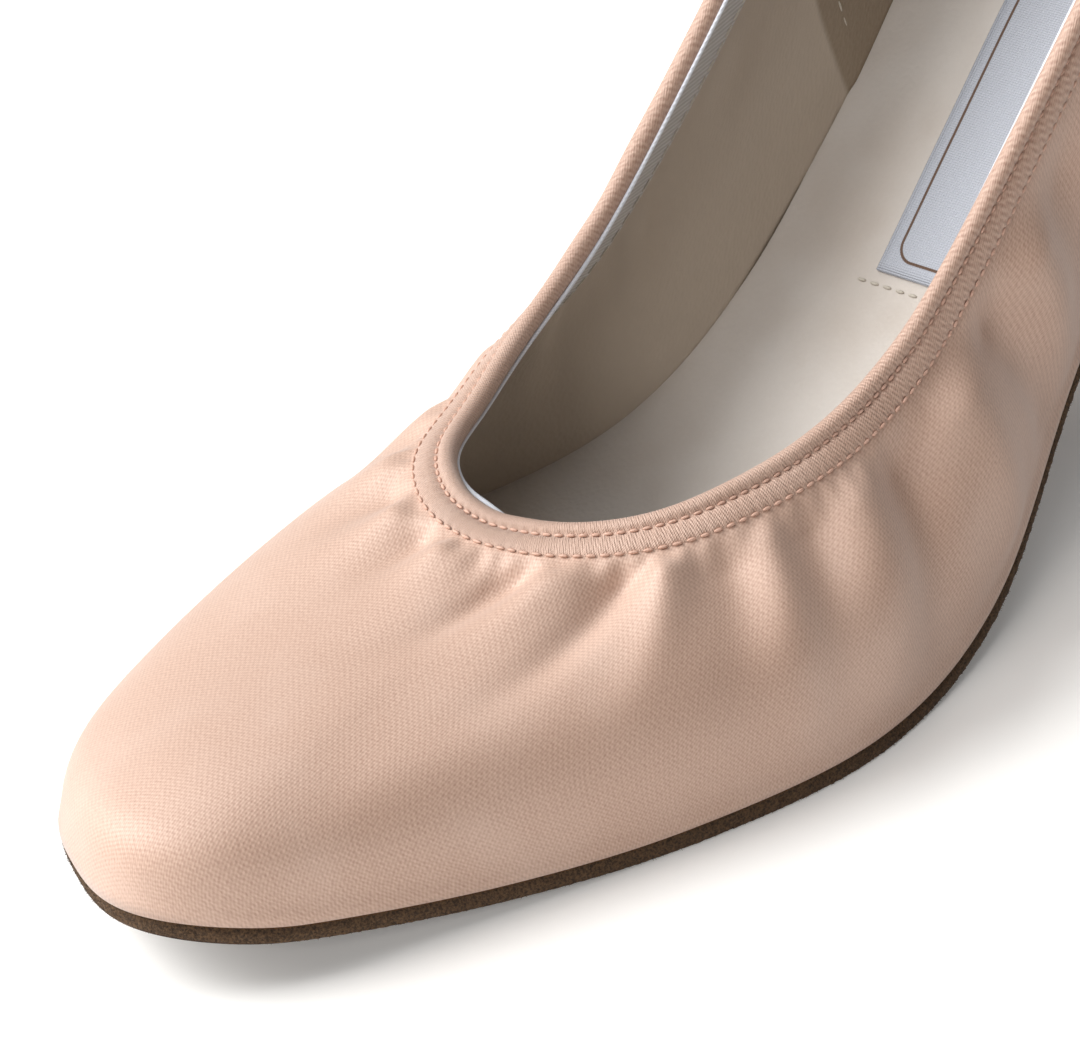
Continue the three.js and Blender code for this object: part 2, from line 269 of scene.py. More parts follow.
def skin(name, points, flat, turned=False):
    """A sheet through a grid of points, its pattern laid flat in a UV map. Ends that meet are joined."""
    rows, steps = points.shape[:2]
    sheet = bmesh.new()
    bmesh.ops.create_grid(sheet, x_segments=steps - 1, y_segments=rows - 1, size=0.5)
    share = np.array([v.co[:2] for v in sheet.verts]) + 0.5
    step = np.rint(share[:, 0] * (steps - 1)).astype(int)
    row = np.rint(share[:, 1] * (rows - 1)).astype(int)
    pattern = sheet.loops.layers.uv.new("pattern")
    laid = flat[row, step]
    for face in sheet.faces:
        for loop in face.loops:
            loop[pattern].uv = laid[loop.vert.index]
    for vert, place in zip(sheet.verts, points[row, step]):
        vert.co = place
    bmesh.ops.remove_doubles(sheet, verts=sheet.verts, dist=MERGE_DISTANCE)
    bmesh.ops.dissolve_degenerate(sheet, edges=sheet.edges, dist=MERGE_DISTANCE)
    if turned:
        bmesh.ops.reverse_faces(sheet, faces=sheet.faces)
    return finished(name, sheet)


def thicken(piece, thickness):
    """Gives a sheet its thickness, behind its visible face."""
    behind_face = piece.modifiers.new("thickness", "SOLIDIFY")
    behind_face.thickness = thickness * MM
    behind_face.offset = -1
    behind_face.use_even_offset = False


def belongs(piece, finish, slot, *nodes):
    """Dresses a piece, fixes it to the shoe and hides the nodes that it stands for."""
    piece.data.materials.append(finish.material)
    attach(piece, "root")
    if nodes:
        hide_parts(*nodes)


def colour(code):
    """A screen colour such as 0xd9ac94 as the linear colour of a material."""
    parts = [(code >> shift & 255) / 255 for shift in (16, 8, 0)]
    linear = [c / 12.92 if c <= 0.04045 else ((c + 0.055) / 1.055) ** 2.4 for c in parts]
    return (*linear, 1.0)


class Value:
    """One socket of a finish, so that shader sums are written as plain expressions."""

    def __init__(self, finish, socket):
        self.finish = finish
        self.socket = socket

    def sum(self, operation, *terms):
        sockets = dict(enumerate(terms))
        return self.finish.node("ShaderNodeMath", {"operation": operation}, sockets)

    def __add__(self, other):
        return self.sum("ADD", self, other)

    def __sub__(self, other):
        return self.sum("SUBTRACT", self, other)

    def __rsub__(self, other):
        return self.sum("SUBTRACT", other, self)

    def __mul__(self, other):
        return self.sum("MULTIPLY", self, other)

    __radd__ = __add__
    __rmul__ = __mul__

    def sine(self):
        return self.sum("SINE", self)

    def size(self):
        return self.sum("ABSOLUTE", self)

    def root(self):
        return self.sum("SQRT", self)

    def greater(self, other):
        return self.sum("MAXIMUM", self, other)

    def between(self, low, high):
        """0 at the low value and 1 at the high one, with a soft change from one to the other."""
        sockets = {"Value": self, "From Min": low, "From Max": high}
        return self.finish.node("ShaderNodeMapRange", {"interpolation_type": "SMOOTHSTEP"}, sockets)

    def lines(self, pitch, waver=0.0):
        """Even lines from 0 to 1 across this direction, with a pitch in millimetres."""
        return (self * (2 * math.pi / (pitch * MM)) + waver).sine() * 0.5 + 0.5


# A Mix node set to colours has its own sockets among those for numbers and vectors.
MIX_SHARE = 0
MIX_FIRST = 6
MIX_SECOND = 7
MIX_RESULT = 2


class Finish:
    """A material whose nodes are added one at a time, each by its kind, its settings and its sockets."""

    def __init__(self, name, fixed):
        self.material = bpy.data.materials.new(name)
        self.material.use_nodes = True
        self.tree = self.material.node_tree
        self.shader = self.tree.nodes["Principled BSDF"]
        for socket, value in fixed.items():
            self.shader.inputs[socket].default_value = value

    def feed(self, socket, value):
        if isinstance(value, Value):
            self.tree.links.new(value.socket, socket)
        else:
            socket.default_value = value

    def node(self, kind, settings, sockets, output=0):
        node = self.tree.nodes.new(kind)
        for setting, value in settings.items():
            setattr(node, setting, value)
        for socket, value in sockets.items():
            self.feed(node.inputs[socket], value)
        return Value(self, node.outputs[output])

    def flat(self):
        """The pattern's place and its two directions, in metres."""
        laid = self.node("ShaderNodeUVMap", {"uv_map": "pattern"}, {})
        sides = [self.node("ShaderNodeSeparateXYZ", {}, {0: laid}, output=axis) for axis in "XY"]
        return laid, *sides

    def solid(self):
        """The place on the piece itself, in metres."""
        return self.node("ShaderNodeTexCoord", {}, {}, output="Object")

    def noise(self, place, pitch, detail=3.0, roughness=0.5):
        sockets = {"Vector": place, "Scale": 1 / (pitch * MM), "Detail": detail, "Roughness": roughness}
        return self.node("ShaderNodeTexNoise", {}, sockets)

    def cells(self, place, pitch):
        sockets = {"Vector": place, "Scale": 1 / (pitch * MM)}
        return self.node("ShaderNodeTexVoronoi", {}, sockets)

    def mixed(self, share, first, second):
        sockets = {MIX_SHARE: share, MIX_FIRST: first, MIX_SECOND: second}
        return self.node("ShaderNodeMix", {"data_type": "RGBA"}, sockets, output=MIX_RESULT)

    def surface(self, base, roughness, relief, depth):
        """Links the colour and roughness, and the relief as a bump of a depth in millimetres."""
        bump = self.node("ShaderNodeBump", {}, {"Height": relief, "Distance": depth * MM, "Strength": 1.0})
        self.feed(self.shader.inputs["Base Color"], base)
        self.feed(self.shader.inputs["Roughness"], roughness)
        self.feed(self.shader.inputs["Normal"], bump)


SATIN = colour(0xCCAA94)
SATIN_DEEP = colour(0x92644D)
SATIN_PALE = colour(0xDCC2B3)
SATIN_GLOSS = {
    "IOR": 1.8,
    "Specular IOR Level": 0.9,
    "Specular Tint": (1, 0.93, 0.9, 1),
    "Sheen Weight": 0.35,
    "Sheen Roughness": 0.5,
}
SATIN_THICKNESS = 0.25
SATIN_CONTRAST = 0.55
SATIN_DEPTH = 0.035
SATIN_ROUGHNESS = 0.63
THREAD_GLOSS = 0.06
THREAD_RELIEF = 0.8
WAVER = 2.2
WAVER_PITCH = 2.0
SLUB_PITCH = 0.4
SLUB_SHADE = 0.5
SLUB_DULL = 0.1
SLUB_RELIEF = 0.9
CLOUD_PITCH = 16.0
CLOUD_SHARE = 0.2
SATIN_WEAVE = (
    # pitch of the lines in millimetres, their turn
    (0.33, math.radians(7)),
    (0.6, math.radians(43)),
    (0.5, math.radians(105)),
)
WEAVE_SHARES = (0.38, 0.26, 0.36)


def satin_finish(name, weave, contrast, depth):
    """Satin with a broad gloss. Its weave is three sets of lines, each with a pitch and a turn."""
    cloth = Finish(name, SATIN_GLOSS)
    laid, across, along = cloth.flat()
    waver = cloth.noise(laid, WAVER_PITCH) * WAVER
    threads = 0.0
    for (pitch, turn), share in zip(weave, WEAVE_SHARES):
        way = across * math.cos(turn) + along * math.sin(turn)
        threads = threads + way.lines(pitch, waver) * share
    slub = cloth.noise(laid, SLUB_PITCH, detail=4.0, roughness=0.6)
    cloud = cloth.noise(laid, CLOUD_PITCH)
    shade = (1 - threads) * contrast + slub.between(0.35, 0.7) * contrast * SLUB_SHADE
    base = cloth.mixed(shade, SATIN, SATIN_DEEP)
    base = cloth.mixed(cloud.between(0.4, 0.8) * CLOUD_SHARE, base, SATIN_PALE)
    gloss = SATIN_ROUGHNESS - threads * THREAD_GLOSS + slub * SLUB_DULL
    cloth.surface(base, gloss, threads * THREAD_RELIEF + slub * SLUB_RELIEF, depth)
    return cloth


# The gathers, as soft troughs and ridges that start at the stitched band and die out down the upper.
# at: millimetres along the topline from the toe's end of it, outer side positive. slant: sideways drift
# for each millimetre down. wide: half width. high: ridge above the last, or trough below it. fade: length.
GATHERS = np.array([
    # at, slant, wide, high, fade
    (-88, 0.0, 6.0, -0.5, 12),
    (-76, 0.0, 5.0, 0.45, 12),
    (-65, 0.0, 4.0, -0.6, 14),
    (-56, 0.0, 4.0, 0.55, 14),
    (-47, 0.0, 3.0, -0.6, 14),
    (-40, 0.0, 3.0, 0.5, 12),
    (-33, 0.0, 2.6, -0.5, 12),
    (-27.5, 0.0, 2.4, 0.5, 10),
    (-22.5, 0.0, 2.2, -0.6, 10),
    (-17.5, 0.0, 2.2, 0.6, 9),
    (-13.0, 0.0, 1.9, -0.8, 9),
    (-9.0, 0.0, 1.8, 0.75, 8),
    (-5.2, -0.05, 1.7, -0.85, 9),
    (-1.4, 0.0, 1.9, 0.8, 7),
    (2.4, 0.0, 1.5, -0.3, 6),
    (6.9, -0.3, 2.0, -1.2, 14),
    (11.2, -0.3, 2.3, 0.75, 12),
    (16.9, -0.3, 2.0, -1.25, 16),
    (20.4, -0.08, 1.8, 0.95, 14),
    (25.5, 0.0, 3.0, -0.9, 20),
    (30.0, -0.05, 2.2, 0.45, 16),
    (35.0, -0.05, 3.0, -1.0, 21),
    (41.5, -0.05, 3.2, 0.65, 20),
    (48.5, -0.05, 3.6, -1.7, 24),
    (58.0, 0.1, 4.8, 1.4, 25),
    (68.0, 0.35, 4.2, -1.9, 23),
    (77.5, 0.25, 4.8, 1.3, 20),
    (88.0, 0.2, 5.0, -1.0, 16),
    (101.0, 0.1, 6.0, 0.7, 15),
])
FULLNESS = 1.75
ONSET = 1.5
ONSET_FOR_WIDTH = 1.1
PUCKER = 0.13
PUCKER_PITCH = 2.7
PUCKER_WANDER = 1.7
PUCKER_WANDER_RUN = 3.1
PUCKER_REACH = 70
PUCKER_FADE = 2.2
TOE_RIM = 0.3
TOE_RIM_HEIGHT = 8.5
TOE_RIM_WIDE = 3.2
TOE_RIM_ROUND = 0.09
CALM_HEIGHT = 5
TURN_IN = 0.6
TURN_IN_HEIGHT = 1.2

topline_points = wall(FULL_ROUND, np.array([0.0]), 0.0)[:, 0] / MM
topline_run = run_along(topline_points)
TOPLINE_LENGTH = topline_run[-1]


def along_topline(t):
    """Millimetres along the topline from the toe's end of it, outer side positive."""
    run = np.interp(np.asarray(t) % 1, FULL_ROUND, topline_run)
    return np.where(run > TOPLINE_LENGTH / 2, run - TOPLINE_LENGTH, run)


def bell(distance, wide):
    """1 at no distance, with a soft fall to both sides."""
    return np.exp(-(distance / wide) ** 2)


def gathered(run, below, above_foot, t):
    """How far the satin stands off the last."""
    down = below - BINDING_HEIGHT
    lift = np.zeros_like(below)
    for at, slant, wide, high, fade in GATHERS:
        onset = eased(np.clip(down / (ONSET + ONSET_FOR_WIDTH * wide), 0, 1))
        lift += high * bell(run - at - slant * down, wide) * onset * bell(down, fade)
    wave = np.sin(2 * np.pi * run / PUCKER_PITCH + PUCKER_WANDER * np.sin(run / PUCKER_WANDER_RUN))
    lift += PUCKER * bell(run, PUCKER_REACH) * wave * np.clip(down, 0, 1) * np.exp(-down / PUCKER_FADE)
    from_toe = (t + 0.5) % 1 - 0.5
    lift += TOE_RIM * bell(from_toe, TOE_RIM_ROUND) * bell(above_foot - TOE_RIM_HEIGHT, TOE_RIM_WIDE)
    lift *= np.clip(above_foot / CALM_HEIGHT, 0, 1)
    return FULLNESS * lift + TURN_IN * bell(above_foot, TURN_IN_HEIGHT)


UPPER_ROUND = 620
UPPER_DOWN = 58
UNDER_BAND = 0.5
CLOSER_AT_TOP = 1.25
FAN = 18
t_upper = from_heel(UPPER_ROUND)
upper_lengths = run_along(columns(t_upper))[:, -1:]
upper_top = BINDING_HEIGHT - UNDER_BAND
upper_below = upper_top + np.linspace(0, 1, UPPER_DOWN) ** CLOSER_AT_TOP * (upper_lengths - upper_top)
upper_run = along_topline(t_upper)[:, None]
satin_lift = gathered(upper_run, upper_below, upper_lengths - upper_below, t_upper[:, None])
upper_start = round_shoe(TOPLINE, t_upper)[:, :2]
fan = unit(feather_edge(t_upper, 0) - upper_start + FAN * outward(TOPLINE, t_upper))
upper_flat = (upper_start[:, None] + fan[:, None] * upper_below[..., None]) * MM
upper = skin("satin_upper", wall(t_upper, upper_below, satin_lift), upper_flat)
thicken(upper, SATIN_THICKNESS)
satin = satin_finish("flesh_satin", SATIN_WEAVE, SATIN_CONTRAST, SATIN_DEPTH)
belongs(upper, satin, "satin", "upper")

# The lining
# Cream leather cemented inside the satin, which it follows into the troughs. Behind a stitched seam
# at each side it is a thicker heel grip of suede.
LINING = colour(0xB9AD9F)
LINING_SHADE = colour(0x9C8F80)
HEEL_GRIP = colour(0x9C8E7C)
HEEL_GRIP_SHADE = colour(0x867767)
WALL = 1.8
LINING_FACE = -WALL
LINING_THICKNESS = 0.3
LINING_TUCK = 1
LINING_SHORT = 0.5
LINING_GIRTH = 480
LINING_ROUND = 400
LINING_DOWN = 30
SEAM_T = 0.325
GRIP_HALF = 0.5 - SEAM_T
GRIP_STEP = 0.35
GRIP_STEP_ROUND = 0.0015
GRIP_EDGE = 0.4
SLACK = 0.35
SLACK_RUN = 7.5
SLACK_SLANT = 9
SLACK_DOWN = 8
SLACK_FROM = 7.2
SLACK_ONSET = 12


def laid_flat(first, second):
    """A pattern's two directions, in millimetres, as a grid of its places in metres."""
    return np.stack(np.broadcast_arrays(first, second), axis=2) * MM


t_lining = from_heel(LINING_ROUND)
lining_lengths = run_along(columns(t_lining))[:, -1:]
lining_top = BINDING_HEIGHT - LINING_TUCK
lining_deep = lining_lengths - LINING_SHORT - lining_top
lining_below = lining_top + np.linspace(0, 1, LINING_DOWN) * lining_deep
from_back = t_lining % 1 - 0.5
grip = np.clip((GRIP_HALF - np.abs(from_back)) / GRIP_STEP_ROUND, 0, 1)[:, None]
lining_run = along_topline(t_lining)[:, None]
follow = gathered(lining_run, lining_below, lining_lengths - lining_below, t_lining[:, None])
slack = SLACK * np.sin(lining_run / SLACK_RUN + lining_below / SLACK_SLANT)
slack = slack * np.sin(lining_below / SLACK_DOWN)
slack = slack * np.clip((lining_below - SLACK_FROM) / SLACK_ONSET, 0, 1)
lining_lift = LINING_FACE - GRIP_STEP * grip + np.minimum(follow, 0) + slack
lining_flat = laid_flat(from_back[:, None] * LINING_GIRTH, lining_below)
lining = skin("leather_lining", wall(t_lining, lining_below, lining_lift), lining_flat, turned=True)
thicken(lining, LINING_THICKNESS)

lining_leather = Finish("lining_leather", {})
laid, seam_way, _ = lining_leather.flat()
seam_place = GRIP_HALF * LINING_GIRTH
behind = 1 - seam_way.size().between((seam_place - GRIP_EDGE) * MM, (seam_place + GRIP_EDGE) * MM)
pores = lining_leather.cells(laid, pitch=0.55)
mottle = lining_leather.noise(laid, pitch=9.0, detail=4.0)
grip_nap = lining_leather.noise(laid, pitch=0.35, detail=4.0)
cream = lining_leather.mixed(mottle * 0.35, LINING, LINING_SHADE)
grip_suede = lining_leather.mixed(grip_nap, HEEL_GRIP, HEEL_GRIP_SHADE)
base = lining_leather.mixed(behind, cream, grip_suede)
lining_leather.surface(base, roughness=0.62 + behind * 0.3, relief=pores * 0.6 + mottle * 1.5, depth=0.06)
belongs(lining, lining_leather, "sock_leather")

# The topline binding
# A strip of the same satin on the bias, rolled over the raw edge and stitched down in a groove. Below
# the groove it lies as a flat band over the elastic, and a second row of stitches holds its lower edge
# to the gathered upper.
BINDING_SECTION = np.array([
    # millimetres below the topline, millimetres off the outer face
    (4.6, -2.0),
    (2.5, -2.1),
    (0.9, -2.15),
    (0.0, -1.95),
    (-0.55, -1.5),
    (-0.85, -0.9),
    (-0.75, -0.3),
    (-0.4, 0.2),
    (0.1, 0.46),
    (0.6, 0.48),
    (1.0, 0.3),
    (1.25, 0.0),
    (1.45, -0.08),
    (1.65, 0.04),
    (1.95, 0.3),
    (2.6, 0.4),
    (3.4, 0.4),
    (3.9, 0.32),
    (4.25, 0.12),
    (4.45, -0.1),
    (4.6, -0.5),
])
GROOVE = 1.42
BAND_EDGE = 4.35
STITCH_PITCH = 1.4
BINDING_ROUND = 1300
BINDING_THICKNESS = 0.3
BINDING_CONTRAST = 0.65
BINDING_DEPTH = 0.1
SCALLOP = 0.09
SCALLOP_WIDE = 0.5
SOFT_WAVE = 0.08
SOFT_WAVE_RUN = 4.3
SOFT_WANDER = 2.0
SOFT_WANDER_RUN = 9.0
INNER_FACE = -1
BIAS_WEAVE = (
    # pitch of the lines in millimetres, their turn
    (0.62, math.radians(-35)),
    (0.3, math.radians(60)),
    (0.45, math.radians(-20)),
)
t_binding = from_heel(BINDING_ROUND)
binding_run = along_topline(t_binding)[:, None]
binding_below, binding_off = BINDING_SECTION.T
scallop = SCALLOP * np.cos(2 * np.pi * binding_run / STITCH_PITCH)
at_stitches = bell(binding_below - GROOVE, SCALLOP_WIDE) + bell(binding_below - BAND_EDGE, SCALLOP_WIDE)
soft_wander = SOFT_WANDER * np.sin(binding_run / SOFT_WANDER_RUN)
soft_wave = SOFT_WAVE * np.sin(binding_run / SOFT_WAVE_RUN + soft_wander)
binding_lift = binding_off + (binding_off > INNER_FACE) * (scallop * at_stitches + soft_wave)
binding_way = np.linspace(0, TOPLINE_LENGTH, BINDING_ROUND + 1)[:, None]
binding_flat = laid_flat(binding_way, run_along(BINDING_SECTION))
binding = skin("satin_binding", wall(t_binding, binding_below, binding_lift), binding_flat)
thicken(binding, BINDING_THICKNESS)
binding_satin = satin_finish("binding_satin", BIAS_WEAVE, BINDING_CONTRAST, BINDING_DEPTH)
belongs(binding, binding_satin, "satin_binding", "topline_binding")

# The stitches
# Twisted satin thread, sunk a little into the cloth by a lockstitch machine. One row runs round the
# binding in its groove, and one along the lower edge of its band.
THREAD = colour(0xDBB8A6)
THREAD_SHADE = colour(0xBC907B)
STITCH_LONG = 0.98
STITCH_RADIUS = 0.2
STITCH_ROWS = (
    # name, millimetres below the topline, millimetres off the outer face
    ("groove_stitches", GROOVE, 0.08),
    ("band_stitches", BAND_EDGE, 0.2),
)
OFF_STITCH = np.array([0.3, 0.2, 0.93])


def stitch_mesh(name, starts, ends, radius):
    """Every stitch of a row in one mesh: a small ball drawn out from each start to its end."""
    shape = bmesh.new()
    bmesh.ops.create_uvsphere(shape, u_segments=8, v_segments=6, radius=1.0)
    ball = np.array([v.co for v in shape.verts])
    faces = [[v.index for v in f.verts] for f in shape.faces]
    shape.free()
    half = (ends - starts) / 2
    side = unit(np.cross(half, OFF_STITCH))
    rest = np.cross(unit(half), side)
    across, over, along = (ball[None, :, axis, None] for axis in range(3))
    points = ((starts + ends) / 2)[:, None] + along * half[:, None]
    points = points + radius * MM * (across * side[:, None] + over * rest[:, None])
    joined = [[v + k * len(ball) for v in face] for k in range(len(starts)) for face in faces]
    mesh = bpy.data.meshes.new(name)
    mesh.from_pydata(points.reshape(-1, 3).tolist(), [], joined)
    mesh.shade_smooth()
    return in_scene(name, mesh)


def row_round(name, below, lift, pitch, long, radius):
    """A row of stitches round the shoe at a distance below the topline."""
    count = int(TOPLINE_LENGTH / pitch)
    begin = np.arange(count) * TOPLINE_LENGTH / count
    t_start = np.interp(begin, topline_run, FULL_ROUND)
    t_end = np.interp(begin + long, topline_run, FULL_ROUND)
    starts = wall(t_start, np.array([below]), lift)[:, 0]
    ends = wall(t_end, np.array([below]), lift)[:, 0]
    return stitch_mesh(name, starts, ends, radius)


thread = Finish("stitch_thread", {})
twist = thread.noise(thread.solid(), pitch=0.25, detail=2.0)
thread_shade = thread.mixed(twist, THREAD, THREAD_SHADE)
thread.surface(thread_shade, roughness=0.5 + twist * 0.1, relief=twist, depth=0.03)
for name, below, lift in STITCH_ROWS:
    stitches = row_round(name, below, lift, STITCH_PITCH, STITCH_LONG, STITCH_RADIUS)
    belongs(stitches, thread, "satin_binding")

# The topline tape
# A grey twill tape with a pale corded edge, sewn inside the collar over the top of the lining. At the
# throat the cord stands up and shows above the lining.
TAPE = colour(0xC4C3C2)
TAPE_SHADE = colour(0x8F8C88)
TAPE_CORD = colour(0xE6E9F2)
TAPE_THREAD = colour(0xCFC9BE)
TAPE_THREAD_SHADE = colour(0xA79E90)
TAPE_SECTION = np.array([
    # millimetres below the topline, millimetres off the outer face
    (0.75, -1.9),
    (0.3, -2.05),
    (0.1, -2.2),
    (0.1, -2.4),
    (0.3, -2.55),
    (0.55, -2.55),
    (0.75, -2.45),
    (0.9, -2.36),
    (3.0, -2.36),
    (5.6, -2.3),
    (5.9, -2.1),
    (5.9, -1.85),
])
TAPE_ROUND = 500
TAPE_THICKNESS = 0.2
TAPE_RIB = 0.55
CORD_DEEP = 1
CORD_GIRTH = 1.3
CORD_EDGE = 0.2
CORD_RISE = 1.6
CORD_LIFT = 1.2
CORD_T = -0.04
CORD_ROUND = 0.09
TAPE_ROW = 5.0
TAPE_ROW_LIFT = -2.34
TAPE_STITCH_PITCH = 2.4
TAPE_STITCH_LONG = 1.9
TAPE_STITCH_RADIUS = 0.17
t_tape = from_heel(TAPE_ROUND)
tape_below, tape_off = TAPE_SECTION.T
from_throat = (t_tape - CORD_T + 0.5) % 1 - 0.5
raised = bell(from_throat, CORD_ROUND)[:, None] * (tape_below < CORD_DEEP)
tape_points = wall(t_tape, tape_below - CORD_RISE * raised, tape_off + CORD_LIFT * raised)
tape_way = np.linspace(0, TOPLINE_LENGTH, TAPE_ROUND + 1)[:, None]
tape = skin("topline_tape", tape_points, laid_flat(tape_way, run_along(TAPE_SECTION)), turned=True)
thicken(tape, TAPE_THICKNESS)
tape_twill = Finish("tape_twill", {})
_, round_way, over = tape_twill.flat()
ribs = (round_way + over).lines(TAPE_RIB)
weave = tape_twill.mixed(ribs * 0.5, TAPE, TAPE_SHADE)
cord_share = over.between((CORD_GIRTH + CORD_EDGE) * MM, (CORD_GIRTH - CORD_EDGE) * MM)
tape_twill.surface(tape_twill.mixed(cord_share, weave, TAPE_CORD), roughness=0.7, relief=ribs, depth=0.05)
belongs(tape, tape_twill, "label_cloth")

tape_thread = Finish("tape_thread", {})
speck = tape_thread.noise(tape_thread.solid(), pitch=0.3, detail=2.0)
tape_thread_shade = tape_thread.mixed(speck, TAPE_THREAD, TAPE_THREAD_SHADE)
tape_thread.surface(tape_thread_shade, roughness=0.7, relief=speck, depth=0.02)
tape_row = row_round(
    "tape_stitches", TAPE_ROW, TAPE_ROW_LIFT, TAPE_STITCH_PITCH, TAPE_STITCH_LONG, TAPE_STITCH_RADIUS
)
belongs(tape_row, tape_thread, "label_cloth")

# The heel grip's seam
# A row of stitches in the tape's thread holds the suede heel grip to the lining at each side, from the
# tape down to the sock.
SEAM_PITCH = 2.2
SEAM_LONG = 1.5
SEAM_RADIUS = 0.16
SEAM_TOP = 7.5
SEAM_FOOT = 4
SEAM_STAND = 0.05
SEAM_BEHIND = 0.005


def seam_stitches(name, t_seam):
    """A row of stitches down the lining."""
    at = np.array([t_seam])
    length = run_along(columns(at))[0, -1]
    begin = np.arange(SEAM_TOP, length - SEAM_FOOT, SEAM_PITCH)
    lift = LINING_FACE - GRIP_STEP - SEAM_STAND
    starts = wall(at, begin, lift)[0]
    ends = wall(at, begin + SEAM_LONG, lift)[0]
    return stitch_mesh(name, starts, ends, SEAM_RADIUS)


stitched_t = SEAM_T + SEAM_BEHIND
for name, t_seam in (("outer_seam_stitches", stitched_t), ("inner_seam_stitches", 1 - stitched_t)):
    belongs(seam_stitches(name, t_seam), tape_thread, "sock_leather")

# The outsole
# Suede about 2 mm thick, cut to the last and cemented on with the nap outwards. Its cut edge is inked
# dark, with a line of paler leather where it meets the upper.
SUEDE = colour(0x4A3626)
SUEDE_DARK = colour(0x2B1F16)
SUEDE_WORN = colour(0x6A4E36)
EDGE_FIBRE = colour(0x6B5138)
FEATHER_LINE = colour(0x8A5A34)
SUEDE_SHEEN = {"Sheen Weight": 0.12, "Sheen Roughness": 0.6, "Sheen Tint": colour(0x9A7A5C)}
SLAB_ALONG = 160
SOLE_ACROSS = 16
SOLE_INSET = 0.7
DIP_WIDE = 0.7


def slab_face(offset, lift, across, dip=0.0):
    """Points of a face that follows the sole, from the inner edge to the outer, with its edges dipped."""
    t = np.linspace(0, 0.5, SLAB_ALONG + 1)
    outer = feather_edge(t, offset)
    inner = feather_edge(1 - t, offset)
    share = (1 - np.cos(np.linspace(0, np.pi, across + 1))) / 2
    plan = inner[:, None] + (outer - inner)[:, None] * share[None, :, None]
    width = np.linalg.norm(outer - inner, axis=1)[:, None]
    ends = np.minimum(plan[..., 1] - plan[..., 1].min(), plan[..., 1].max() - plan[..., 1])
    from_edge = np.minimum(np.minimum(share, 1 - share)[None, :] * width, ends)
    height = sole_height(plan[..., 1]) + lift - dip * np.exp(-from_edge / DIP_WIDE)
    return np.concatenate([plan, height[..., None]], axis=2)


def plan_flat(points):
    """A pattern laid on the plan of a face."""
    return points[..., :2] * MM


sole_top = slab_face(SOLE_EDGE - SOLE_INSET, SOLE_THICKNESS, SOLE_ACROSS)
outsole = skin("suede_outsole", placed(sole_top), plan_flat(sole_top))
thicken(outsole, SOLE_THICKNESS)
suede = Finish("sole_suede", SUEDE_SHEEN)
fibre = suede.noise(suede.solid(), pitch=0.35, detail=5.0, roughness=0.65)
patch = suede.noise(suede.solid(), pitch=2.5)
base = suede.mixed(fibre.between(0.35, 0.7), SUEDE_DARK, SUEDE)
base = suede.mixed(patch.between(0.45, 0.8) * 0.5, base, SUEDE_WORN)
suede.surface(base, roughness=0.95, relief=fibre + patch * 0.5, depth=0.25)
belongs(outsole, suede, "suede_sole", "outsole")

EDGE_SECTION = np.array([
    # millimetres above the ground face, millimetres out of the cut line
    (-0.02, -0.35),
    (0.15, -0.05),
    (0.5, 0.02),
    (0.9, 0.03),
    (1.3, 0.0),
    (1.7, -0.15),
    (2.0, -0.4),
    (2.18, -0.6),
])
EDGE_ROUND = 1500
EDGE_GIRTH = 600
EDGE_THICKNESS = 0.1
EDGE_NAP = 0.05
EDGE_CLEARANCE = 0.02
PALE_FROM = 1.85
PALE_TO = 2.1
seeded = np.random.default_rng(7)
t_edge = from_heel(EDGE_ROUND)
edge_high, edge_bulge = EDGE_SECTION.T
nap = seeded.normal(0, EDGE_NAP, (EDGE_ROUND, len(EDGE_SECTION)))
nap = np.vstack([nap, nap[:1]])
edge_stands = SOLE_EDGE + edge_bulge + nap
edge_plan = feather_edge(t_edge, 0)[:, None] + outward(FEATHER, t_edge)[:, None] * edge_stands[..., None]
edge_height = np.maximum(sole_height(edge_plan[..., 1]) + edge_high, EDGE_CLEARANCE)
edge_points = np.concatenate([edge_plan, edge_height[..., None]], axis=2)
edge_flat = laid_flat(np.linspace(0, EDGE_GIRTH, EDGE_ROUND + 1)[:, None], edge_high)
sole_edge = skin("suede_edge", placed(edge_points), edge_flat, turned=True)
thicken(sole_edge, EDGE_THICKNESS)
inked_edge = Finish("inked_edge", SUEDE_SHEEN)
*_, above_ground = inked_edge.flat()
fibre = inked_edge.noise(inked_edge.solid(), pitch=0.3, detail=5.0, roughness=0.65)
base = inked_edge.mixed(fibre.between(0.3, 0.7), SUEDE_DARK, EDGE_FIBRE)
pale_line = above_ground.between(PALE_FROM * MM, PALE_TO * MM)
base = inked_edge.mixed(pale_line * 0.75, base, FEATHER_LINE)
inked_edge.surface(base, roughness=0.92, relief=fibre, depth=0.2)
belongs(sole_edge, inked_edge, "suede_sole")

# The nap on the sole's edge
# Loose fibres of the same suede, which stand out of the cut edge all round where the knife has raised
# them.
FIBRES = 9000
FIBRE_LONG = 0.42
FIBRE_SHORTEST = 0.4
FIBRE_THICK = 0.035
FIBRE_LOW = 0.15
FIBRE_HIGH = 1.6
FIBRE_STRAY = 0.5
FIBRE_ROOT = 0.05
FIBRE_CLEARANCE = 0.05
OFF_FIBRE = np.array([0.2, 0.3, 0.9])
TRIANGLE_SIDE = 0.87
t_fibre = seeded.random(FIBRES)
fibre_height = seeded.uniform(FIBRE_LOW, FIBRE_HIGH, FIBRES)
fibre_stray = seeded.normal(0, FIBRE_STRAY, (FIBRES, 3))
fibre_long = FIBRE_LONG * seeded.uniform(FIBRE_SHORTEST, 1.0, FIBRES)
roots = feather_edge(t_fibre, SOLE_EDGE - FIBRE_ROOT)
roots = np.column_stack([roots, sole_height(roots[:, 1]) + fibre_height])
